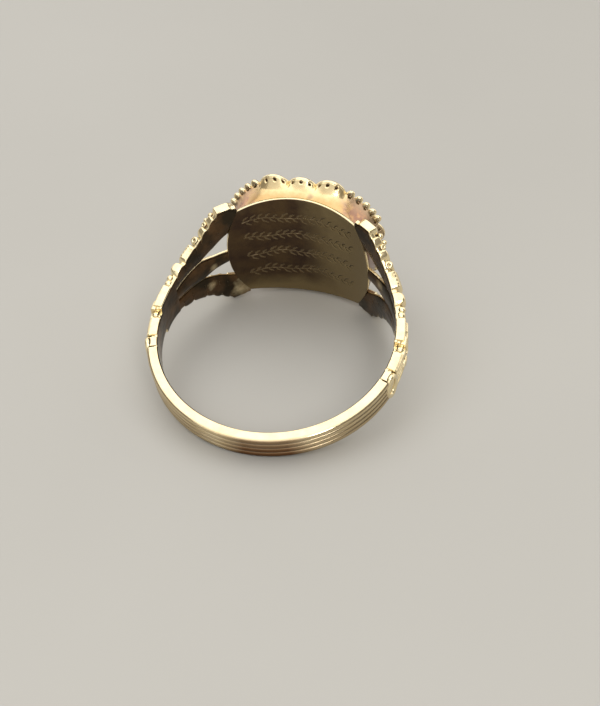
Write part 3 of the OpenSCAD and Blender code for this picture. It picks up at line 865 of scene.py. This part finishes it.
def makeCollet():
    c = colletLook
    bm = bmesh.new()

    def place(turn, way):
        out, rise = c["section"][round(way * len(c["section"])) % len(c["section"])]
        x, z = cushionPoint(2 * pi * turn, ring["crystalHalfW"] + out, ring["crystalHalfH"] + out)
        return Vector((x, borderFront + rise, z))
    rollTube(bm, c["around"], len(c["section"]), place)
    return addPiece(bm, "collet", polishedBandGold, "gold_ring", sharpFrom=60)


makeCollet()

# Hair panel: flat locks of brown hair woven over and under each other, on a dark card. The card's rows are
# its share of the panel's outline and its depth.
hairLook = {"halfW": 4.1, "halfH": 4.3, "card": [(0.98, 9.71), (1.0, 9.74), (1.0, 9.8), (0.98, 9.83)],
            "pitch": 0.62, "width": 0.58, "thick": 0.05, "middle": 10.02, "wave": 0.07, "crown": 0.05,
            "stepsPerPitch": 6, "across": 6, "turn": 45, "fromEdge": 0.1, "mostSteps": 120, "fewestSteps": 4}


# Combed human hair: thin lines run along each lock in dark to light browns and catch the light as silky
# streaks; the lightest brown is partly a painted sheen
def hairMaterial():
    material, tree = newMaterial("wovenHair")
    strand = addNode(tree, "Attribute", {"attribute_name": "strand"})
    combed = addNode(tree, "Mapping", {"Scale": (36.0, 0.9, 7.0)}, {"Vector": strand.outputs["Vector"]})
    lines = addNode(tree, "TexNoise", {"Scale": 1.0, "Detail": 4.0}, {"Vector": combed})
    tone = addNode(tree, "ValToRGB", links={"Fac": lines})
    # painted sheen: the lightest stop stands partly for light caught along the strands
    rampStops(tone, [(0.3, "#23150B"), (0.55, "#5A3A20"), (0.75, "#9A7246")])
    bump = addNode(tree, "Bump", {"Strength": 0.8, "Distance": 0.00002}, {"Height": lines})
    shader = addNode(tree, "BsdfPrincipled", {"Roughness": 0.42, "Anisotropic": 0.5},
                     {"Base Color": tone, "Normal": bump})
    addNode(tree, "OutputMaterial", links={"Surface": shader})
    return material


def makeHair():
    h = hairLook
    bm = bmesh.new()
    notes = bm.verts.layers.float_vector.new("strand")
    cosT, sinT = cos(radians(h["turn"])), sin(radians(h["turn"]))
    reach = int(hypot(h["halfW"], h["halfH"]) / h["pitch"]) + 1
    step = h["pitch"] / h["stepsPerPitch"]
    size = (h["halfW"] - h["fromEdge"], h["halfH"] - h["fromEdge"])
    for family in (0, 1):
        for k in range(-reach, reach + 1):
            def flat(s, c, family=family):
                u, w = (s, c) if family == 0 else (c, s)
                return u * cosT - w * sinT, u * sinT + w * cosT
            inside = [n for n in range(-h["mostSteps"], h["mostSteps"] + 1)
                      if cushionShare(*flat(n * step, k * h["pitch"]), *size) < 1]
            if len(inside) < h["fewestSteps"]:
                continue
            start, end = inside[0] * step, inside[-1] * step
            made = bmesh.ops.create_grid(bm, x_segments=h["across"], y_segments=len(inside) - 1, size=0.5)
            for v in made["verts"]:
                across, s = v.co.x, start + (end - start) * (v.co.y + 0.5)
                wave = cos(pi * (s / h["pitch"] + k + family))
                y = h["middle"] + h["wave"] * signedPower(wave, 0.7) + h["crown"] * (1 - 4 * across * across)
                x, z = flat(s, k * h["pitch"] + across * h["width"])
                v[notes] = (across, s, (k * 7 + family * 3) % 11)      # the last sets the locks apart
                v.co = Vector((x, y, z))
    bmesh.ops.recalc_face_normals(bm, faces=bm.faces)
    for f in bm.faces:
        if f.normal.y < 0:
            f.normal_flip()
    return addPiece(bm, "woven_hair", wovenHair, "hair_panel", sharpFrom=60, thick=h["thick"])


# Card behind the hair, black and dull as the pitch or silk behind old hair work
def cardMaterial():
    material, tree = newMaterial("darkCard")
    place = addNode(tree, "TexCoord")
    fibre = addNode(tree, "TexNoise", {"Scale": 9000.0, "Detail": 4.0}, {"Vector": place.outputs["Object"]})
    tone = addNode(tree, "ValToRGB", links={"Fac": fibre})
    rampStops(tone, [(0.35, "#17100B"), (0.7, "#2C2018")])
    bump = addNode(tree, "Bump", {"Strength": 0.5, "Distance": 0.00001}, {"Height": fibre})
    shader = addNode(tree, "BsdfPrincipled", {"Roughness": 0.8}, {"Base Color": tone, "Normal": bump})
    addNode(tree, "OutputMaterial", links={"Surface": shader})
    return material


# A closed cushion-shaped body along Y: section rows give its size as a share and its depth
def cushionBody(bm, halfW, halfH, section, around=128):
    def place(turn, way):
        share, y = section[min(round(way * (len(section) - 1)), len(section) - 1)]
        x, z = cushionPoint(2 * pi * turn, halfW * share, halfH * share)
        return Vector((x, y, z))
    rollTube(bm, around, len(section) - 1, place)


def makeCard():
    h = hairLook
    bm = bmesh.new()
    cushionBody(bm, h["halfW"], h["halfH"], h["card"])
    return addPiece(bm, "hair_card", darkCard, "hair_panel")


# Rock crystal: clear and hard, so it is sharply polished with only a few hairline rubs
def crystalMaterial():
    material, tree = newMaterial("clearCrystal")
    place = addNode(tree, "TexCoord")
    marks = addNode(tree, "TexNoise", {"Scale": 3500.0, "Detail": 5.0}, {"Vector": place.outputs["Object"]})
    rough = addNode(tree, "MapRange", {"From Min": 0.5, "From Max": 0.8, "To Min": 0.01, "To Max": 0.06},
                    {"Value": marks})
    tint = addNode(tree, "Mix", {"A": "#FBFDFD", "B": "#F1F6F5"}, {"Factor": marks})
    bump = addNode(tree, "Bump", {"Strength": 0.3, "Distance": 0.000004}, {"Height": marks})
    shader = addNode(tree, "BsdfPrincipled", {"Transmission Weight": 1.0, "IOR": 1.54},
                     {"Base Color": tint, "Roughness": rough, "Normal": bump})
    addNode(tree, "OutputMaterial", links={"Surface": shader})
    return material


# Crystal: a flat back, a plain girdle and a wide bevel round its table. The rows are as the card's.
crystalLook = {"section": [(0.985, 10.26), (1.0, 10.32), (1.0, 10.92), (0.99, 10.98), (0.732, 11.52),
                           (0.708, 11.54)], "clearance": 0.01}


def makeCrystal():
    c = crystalLook
    bm = bmesh.new()
    halfW, halfH = (ring[key] - c["clearance"] for key in ("crystalHalfW", "crystalHalfH"))
    cushionBody(bm, halfW, halfH, c["section"])
    return addPiece(bm, "bevelled_crystal", clearCrystal, "crystal", sharpFrom=20)


wovenHair = hairMaterial()
darkCard = cardMaterial()
clearCrystal = crystalMaterial()
makeHair()
makeCard()
makeCrystal()

# Camera, from the photograph: where it stands, how it is turned, and its frame of 600 by 706
cameraLook = {"azimuth": 16.0, "elevation": 41.9, "roll": -2.29, "distance": 86.87, "focalPixels": 1108.4,
              "centre": (278.2, 371.7), "picture": (600, 706), "sensor": 36.0}


def makeCamera():
    c = cameraLook
    az, el, roll = (radians(c[k]) for k in ("azimuth", "elevation", "roll"))
    back = Vector((sin(az) * cos(el), -cos(az) * cos(el), sin(el)))
    right = Vector((cos(az), sin(az), 0))
    up = back.cross(right)
    turnedRight = right * cos(roll) + up * sin(roll)
    turnedUp = up * cos(roll) - right * sin(roll)
    data = bpy.data.cameras.new("camera")
    data.sensor_width = c["sensor"]
    longSide = max(c["picture"])
    data.lens = c["focalPixels"] * c["sensor"] / longSide
    data.shift_x = (c["picture"][0] / 2 - c["centre"][0]) / longSide
    data.shift_y = (c["centre"][1] - c["picture"][1] / 2) / longSide
    data.clip_start = 0.001
    camera = bpy.data.objects.new("camera", data)
    turn = Matrix((turnedRight, turnedUp, back)).transposed().to_4x4()
    aim = Vector((0, holePlace.y, 0))
    camera.matrix_world = Matrix.Translation(aim + back * c["distance"] / 1000) @ turn
    scene.collection.objects.link(camera)
    scene.camera = camera


makeCamera()

# Floor and light: a pale matt table, a wide soft box overhead, and smaller and dimmer ones round it, in a dim
# warm room. A light's row is its name, direction, distance, size and power.
studio = {"floor": ("#B0ADA6", "#AAA7A0"), "floorHalf": 1.5, "room": (0.27, 0.255, 0.23),
          "lights": [("softBox", (-0.1, 0.05, 1.0), 0.32, (0.62, 0.62), 1.75),
                     ("front", (-0.1, -0.85, 0.45), 0.32, (0.5, 0.26), 0.4),
                     ("behindRight", (0.7, 0.7, 0.3), 0.32, (0.34, 0.24), 0.24),
                     ("behindLeft", (-0.75, 0.68, 0.2), 0.32, (0.34, 0.24), 0.22),
                     ("glint", (0.45, -0.65, 0.6), 0.3, (0.06, 0.09), 0.16)]}


def makeStudio():
    s = studio
    material, tree = newMaterial("mattTable")
    place = addNode(tree, "TexCoord")
    mottle = addNode(tree, "TexNoise", {"Scale": 30.0, "Detail": 3.0}, {"Vector": place.outputs["Object"]})
    tone = addNode(tree, "Mix", {"A": s["floor"][0], "B": s["floor"][1]}, {"Factor": mottle})
    shader = addNode(tree, "BsdfPrincipled", {"Roughness": 0.6}, {"Base Color": tone})
    addNode(tree, "OutputMaterial", links={"Surface": shader})
    bm = bmesh.new()
    bmesh.ops.create_grid(bm, x_segments=1, y_segments=1, size=s["floorHalf"])
    mesh = bpy.data.meshes.new("table")
    bm.to_mesh(mesh)
    bm.free()
    mesh.materials.append(material)
    floor = bpy.data.objects.new("table", mesh)
    scene.collection.objects.link(floor)
    for name, way, distance, size, power in s["lights"]:
        light = bpy.data.lights.new(name, "AREA")
        light.shape = "RECTANGLE"
        light.size, light.size_y = size
        light.energy = power
        lamp = bpy.data.objects.new(name, light)
        way = Vector(way).normalized()
        turn = way.to_track_quat("Z", "Y").to_matrix().to_4x4()
        lamp.matrix_world = Matrix.Translation(way * distance) @ turn
        scene.collection.objects.link(lamp)
    world = bpy.data.worlds.new("room")
    world.use_nodes = True
    world.node_tree.nodes["Background"].inputs["Color"].default_value = (*s["room"], 1)
    scene.world = world
    scene.view_settings.view_transform = "Standard"


makeStudio()
